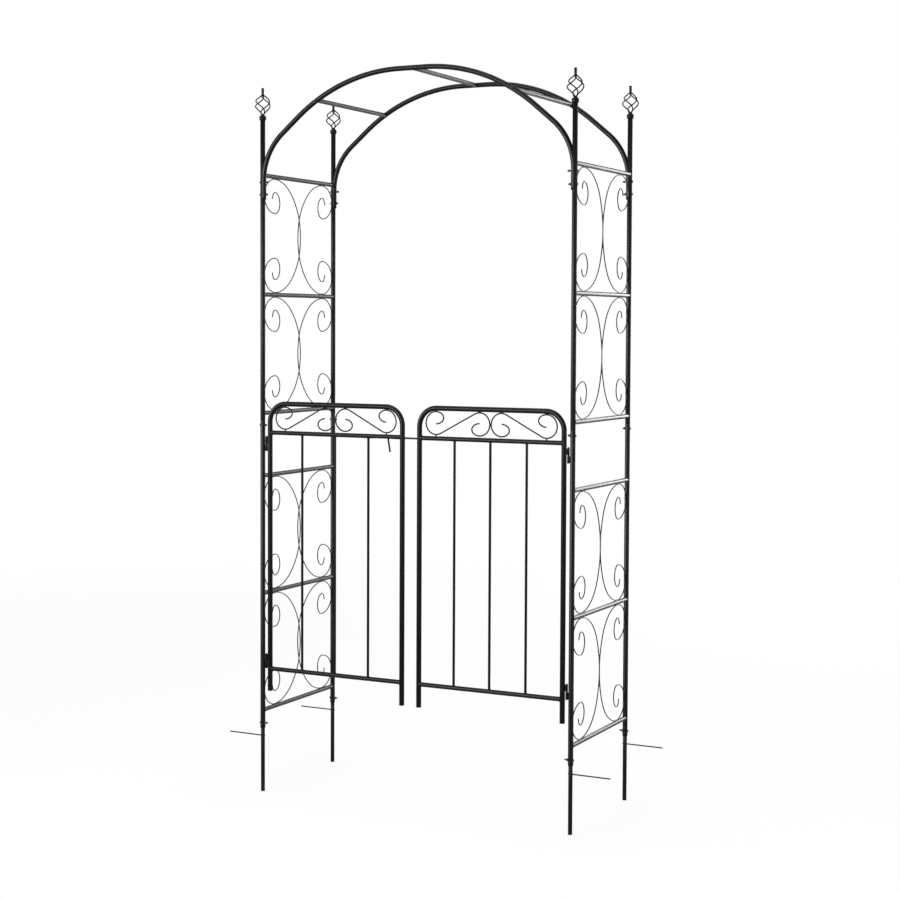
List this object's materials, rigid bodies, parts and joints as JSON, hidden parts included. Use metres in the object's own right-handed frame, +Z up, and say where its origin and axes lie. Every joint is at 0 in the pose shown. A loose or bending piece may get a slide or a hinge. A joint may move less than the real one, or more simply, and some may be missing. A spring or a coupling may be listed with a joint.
{
  "type": "garden arch with gate",
  "caption": "Walk-through metal garden arch with trellis side panels, rounded crown, finials and a double swing gate closed by a slide bolt.",
  "frame": {"origin": "on the ground, midway between the four stake tips", "axes": "+X across the walkway to the right gate, +Y from the front arch with the gates to the back arch, +Z up"},
  "size_m": [1.34, 0.4962, 2.3084],
  "materials": {
    "post_tube": "black powder coat with a fine orange-peel texture, satin",
    "stake": "black powder coat, satin, slightly rubbed",
    "finial": "black powder coat, satin",
    "fastener": "black oxide steel, semi-gloss",
    "trellis": "black powder coat, satin",
    "arch_tube": "black powder coat with a fine orange-peel texture, satin",
    "cross_bar": "black powder coat, satin",
    "gate_tube": "black powder coat with a fine orange-peel texture, satin",
    "gate_scroll": "black powder coat, satin",
    "latch": "black powder coat, rubbed smooth where it slides"
  },
  "bodies": {
    "arch": {"lower_post_front_left": "post_tube", "lower_post_front_right": "post_tube", "lower_post_back_left": "post_tube", "lower_post_back_right": "post_tube", "upper_post_front_left": "post_tube", "upper_post_front_right": "post_tube", "upper_post_back_left": "post_tube", "upper_post_back_right": "post_tube", "stake_front_left": "stake", "stake_front_right": "stake", "stake_back_left": "stake", "stake_back_right": "stake", "finial_front_left": "finial", "finial_front_right": "finial", "finial_back_left": "finial", "finial_back_right": "finial", "arch_bolt_upper_front_left": "fastener", "arch_bolt_upper_front_right": "fastener", "arch_bolt_upper_back_left": "fastener", "arch_bolt_upper_back_right": "fastener", "arch_bolt_lower_front_left": "fastener", "arch_bolt_lower_front_right": "fastener", "arch_bolt_lower_back_left": "fastener", "arch_bolt_lower_back_right": "fastener", "panel_bolt_front_left": "fastener", "panel_bolt_front_right": "fastener", "panel_bolt_back_left": "fastener", "panel_bolt_back_right": "fastener", "stake_bolt_front_left": "fastener", "stake_bolt_front_right": "fastener", "stake_bolt_back_left": "fastener", "stake_bolt_back_right": "fastener", "lower_trellis_left": "trellis", "lower_trellis_right": "trellis", "upper_trellis_left": "trellis", "upper_trellis_right": "trellis", "front_arch_left": "arch_tube", "front_arch_right": "arch_tube", "back_arch_left": "arch_tube", "back_arch_right": "arch_tube", "cross_bar_left": "cross_bar", "cross_bar_middle": "cross_bar", "cross_bar_right": "cross_bar"},
    "left_gate": {"left_gate_frame": "gate_tube", "left_gate_upper_rail": "gate_tube", "left_gate_lower_rail": "gate_tube", "left_gate_bar_1": "gate_tube", "left_gate_bar_2": "gate_tube", "left_gate_bar_3": "gate_tube", "left_gate_scroll_outer": "gate_scroll", "left_gate_scroll_inner": "gate_scroll"},
    "right_gate": {"right_gate_frame": "gate_tube", "right_gate_upper_rail": "gate_tube", "right_gate_lower_rail": "gate_tube", "right_gate_bar_1": "gate_tube", "right_gate_bar_2": "gate_tube", "right_gate_bar_3": "gate_tube", "right_gate_scroll_outer": "gate_scroll", "right_gate_scroll_inner": "gate_scroll"},
    "latch_bolt": {"latch_bolt": "latch"}
  },
  "joints": [
    {"name": "left_gate_swing", "type": "hinge", "parent": "arch", "child": "left_gate", "pos_m": [-0.528, -0.22, 1.132], "axis": [0, 0, -1], "range_deg": [-85, 105]},
    {"name": "right_gate_swing", "type": "hinge", "parent": "arch", "child": "right_gate", "pos_m": [0.528, -0.22, 1.132], "axis": [0, 0, 1], "range_deg": [-85, 105]},
    {"name": "latch_slide", "type": "slide", "parent": "left_gate", "child": "latch_bolt", "axis": [1, 0, 0], "range_m": [-0.044, 0.012]}
  ]
}
